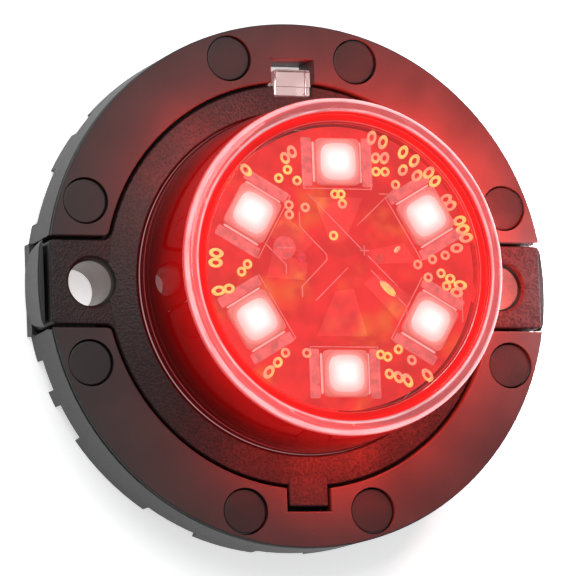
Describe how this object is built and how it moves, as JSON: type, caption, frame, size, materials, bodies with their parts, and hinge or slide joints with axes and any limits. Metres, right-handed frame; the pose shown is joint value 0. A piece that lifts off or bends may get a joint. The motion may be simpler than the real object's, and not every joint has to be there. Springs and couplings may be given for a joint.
{
  "type": "led warning light head",
  "caption": "Round surface-mounted LED warning light head: clear cup lens in a black housing with screw ears, held in a castellated base ring by clamp plates.",
  "frame": {"origin": "centre of the mounting face, on the light's axis", "axes": "+Z along the light's axis, away from the panel; +X along the two fixing screws; +Y towards the lens's clear key"},
  "size_m": [0.0512, 0.05, 0.0192],
  "materials": {
    "ring_plastic": "moulded black, fine satin",
    "plate_plastic": "smooth matte black",
    "housing_plastic": "black, fine leather grain",
    "bush_steel": "turned, bright",
    "lens_clear": "clear polycarbonate, polished",
    "seal_rubber": "soft matte",
    "led_board_mask": "solder mask lit red",
    "led_package_white": "moulded white",
    "led_dome_clear": "clear silicone, lit",
    "thermal_pad_grey": "soft matte",
    "sink_aluminium": "turned",
    "driver_mask": "green solder mask",
    "screw_steel": "zinc plated",
    "pin_brass": "tinned brass",
    "sleeve_white": "moulded white",
    "component_black": "moulded black",
    "capacitor_can": "drawn can",
    "cover_plastic": "moulded black",
    "gasket_foam": "closed-cell foam"
  },
  "bodies": {
    "root": {"base_ring": "ring_plastic", "cable_gland": "seal_rubber", "cover_screws": "screw_steel", "driver_board": "driver_mask", "driver_screws": "screw_steel", "flash_controller": "component_black", "heat_sink": "sink_aluminium", "inductor": "component_black", "input_capacitor": "capacitor_can", "lamp_housing": "housing_plastic", "led_board": "led_board_mask", "led_dome_1": "led_dome_clear", "led_dome_2": "led_dome_clear", "led_dome_3": "led_dome_clear", "led_dome_4": "led_dome_clear", "led_dome_5": "led_dome_clear", "led_dome_6": "led_dome_clear", "led_package_1": "led_package_white", "led_package_2": "led_package_white", "led_package_3": "led_package_white", "led_package_4": "led_package_white", "led_package_5": "led_package_white", "led_package_6": "led_package_white", "left_fixing_bush": "bush_steel", "lens": "lens_clear", "lens_seal": "seal_rubber", "link_pins": "pin_brass", "link_sleeves": "sleeve_white", "lower_clamp_plate": "plate_plastic", "output_capacitor": "capacitor_can", "power_transistor": "component_black", "rear_cover": "cover_plastic", "rear_gasket": "gasket_foam", "right_fixing_bush": "bush_steel", "thermal_pad": "thermal_pad_grey", "upper_clamp_plate": "plate_plastic"}
  },
  "joints": []
}
